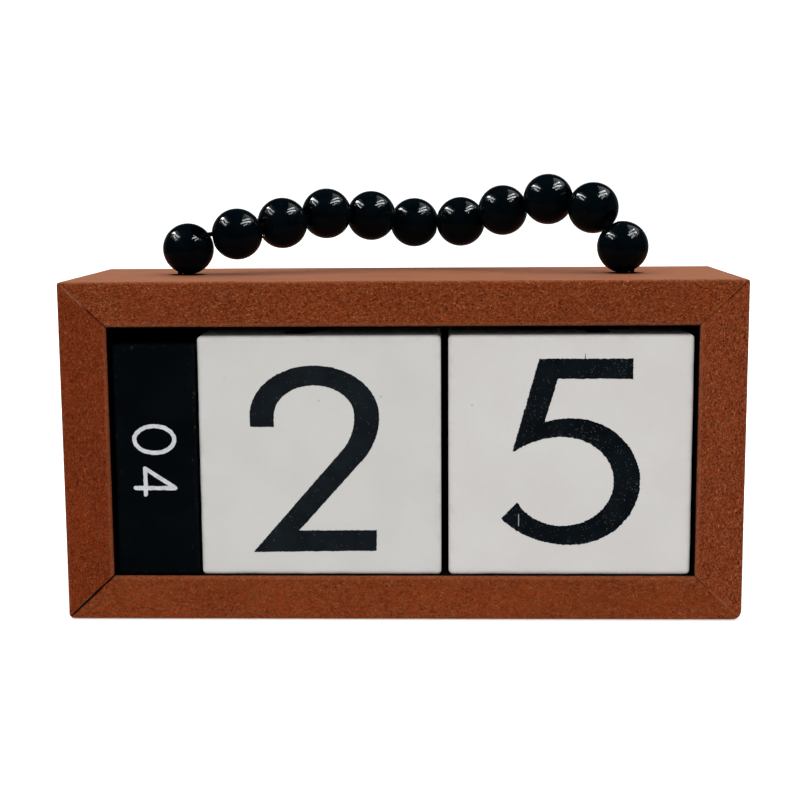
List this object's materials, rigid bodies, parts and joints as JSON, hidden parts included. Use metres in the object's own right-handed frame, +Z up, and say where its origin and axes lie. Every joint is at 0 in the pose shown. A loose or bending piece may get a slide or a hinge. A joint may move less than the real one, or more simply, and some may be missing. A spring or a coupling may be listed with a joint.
{
  "type": "perpetual desk calendar",
  "caption": "Box-framed perpetual desk calendar with number cubes and month bars that slide out of the front, and a carrying handle of beads on a stiff wire.",
  "frame": {"origin": "centre of the whole calendar's footprint, on the surface it stands on", "axes": "+Z up, +X to the reader's right along the frame, +Y from the open front to the closed back"},
  "size_m": [0.1404, 0.0548, 0.0918],
  "materials": {
    "frame_board": "fibre board stained red-brown, open fibres, matt",
    "back_board": "thin fibre board, dull black",
    "brad_steel": "plain steel, sunk and stained over",
    "wire_black": "black coated wire",
    "bead_lacquer": "turned wood, gloss black lacquer",
    "cube_paint": "off-white satin paint over wood",
    "bar_paint": "blue-black satin paint over wood"
  },
  "bodies": {
    "frame": {"top_rail": "frame_board", "bottom_rail": "frame_board", "left_stile": "frame_board", "right_stile": "frame_board", "back_panel": "back_board", "mitre_brads": "brad_steel", "back_panel_brads": "brad_steel", "handle_wire": "wire_black"},
    "number_cube_left": {"number_cube_left": "cube_paint"},
    "number_cube_right": {"number_cube_right": "cube_paint"},
    "month_bar_rear": {"month_bar_rear": "bar_paint"},
    "month_bar_middle": {"month_bar_middle": "bar_paint"},
    "month_bar_front": {"month_bar_front": "bar_paint"},
    "bead_01": {"bead_01": "bead_lacquer"},
    "bead_02": {"bead_02": "bead_lacquer"},
    "bead_03": {"bead_03": "bead_lacquer"},
    "bead_04": {"bead_04": "bead_lacquer"},
    "bead_05": {"bead_05": "bead_lacquer"},
    "bead_06": {"bead_06": "bead_lacquer"},
    "bead_07": {"bead_07": "bead_lacquer"},
    "bead_08": {"bead_08": "bead_lacquer"},
    "bead_09": {"bead_09": "bead_lacquer"},
    "bead_10": {"bead_10": "bead_lacquer"},
    "bead_11": {"bead_11": "bead_lacquer"}
  },
  "joints": [
    {"name": "number_cube_left_slide", "type": "slide", "parent": "frame", "child": "number_cube_left", "axis": [0, -1, 0], "range_m": [0, 0.055]},
    {"name": "number_cube_right_slide", "type": "slide", "parent": "frame", "child": "number_cube_right", "axis": [0, -1, 0], "range_m": [0, 0.055]},
    {"name": "month_bar_rear_slide", "type": "slide", "parent": "frame", "child": "month_bar_rear", "axis": [0, -1, 0], "range_m": [0, 0.055]},
    {"name": "month_bar_middle_slide", "type": "slide", "parent": "month_bar_rear", "child": "month_bar_middle", "axis": [0, -1, 0], "range_m": [0, 0.038]},
    {"name": "month_bar_front_slide", "type": "slide", "parent": "month_bar_middle", "child": "month_bar_front", "axis": [0, -1, 0], "range_m": [0, 0.021]},
    {"name": "bead_01_spin", "type": "hinge", "parent": "frame", "child": "bead_01", "pos_m": [-0.04723, -0.00095, 0.07611], "axis": [0.5422, -0.4579, 0.7045], "continuous": true},
    {"name": "bead_02_spin", "type": "hinge", "parent": "frame", "child": "bead_02", "pos_m": [-0.03648, -0.00102, 0.07924], "axis": [0.9346, 0.3185, 0.1585], "continuous": true},
    {"name": "bead_03_spin", "type": "hinge", "parent": "frame", "child": "bead_03", "pos_m": [-0.02712, 0.00474, 0.08143], "axis": [0.8122, 0.5679, 0.1335], "continuous": true},
    {"name": "bead_04_spin", "type": "hinge", "parent": "frame", "child": "bead_04", "pos_m": [-0.01778, 0.01062, 0.08337], "axis": [0.7851, 0.6189, 0.0248], "continuous": true},
    {"name": "bead_05_spin", "type": "hinge", "parent": "frame", "child": "bead_05", "pos_m": [-0.00798, 0.01606, 0.08273], "axis": [0.8401, 0.5321, -0.1053], "continuous": true},
    {"name": "bead_06_spin", "type": "hinge", "parent": "frame", "child": "bead_06", "pos_m": [0.00168, 0.02145, 0.08103], "axis": [0.9946, 0.0799, -0.0657], "continuous": true},
    {"name": "bead_07_spin", "type": "hinge", "parent": "frame", "child": "bead_07", "pos_m": [0.01233, 0.01799, 0.08124], "axis": [0.8996, -0.4149, 0.1362], "continuous": true},
    {"name": "bead_08_spin", "type": "hinge", "parent": "frame", "child": "bead_08", "pos_m": [0.02174, 0.01249, 0.08383], "axis": [0.8591, -0.4605, 0.2236], "continuous": true},
    {"name": "bead_09_spin", "type": "hinge", "parent": "frame", "child": "bead_09", "pos_m": [0.03163, 0.00783, 0.08627], "axis": [0.8731, -0.4812, 0.0787], "continuous": true},
    {"name": "bead_10_spin", "type": "hinge", "parent": "frame", "child": "bead_10", "pos_m": [0.04111, 0.00216, 0.08441], "axis": [0.6201, -0.6497, -0.4397], "continuous": true},
    {"name": "bead_11_spin", "type": "hinge", "parent": "frame", "child": "bead_11", "pos_m": [0.04717, -0.00228, 0.07611], "axis": [0.4894, 0.103, -0.866], "continuous": true}
  ]
}
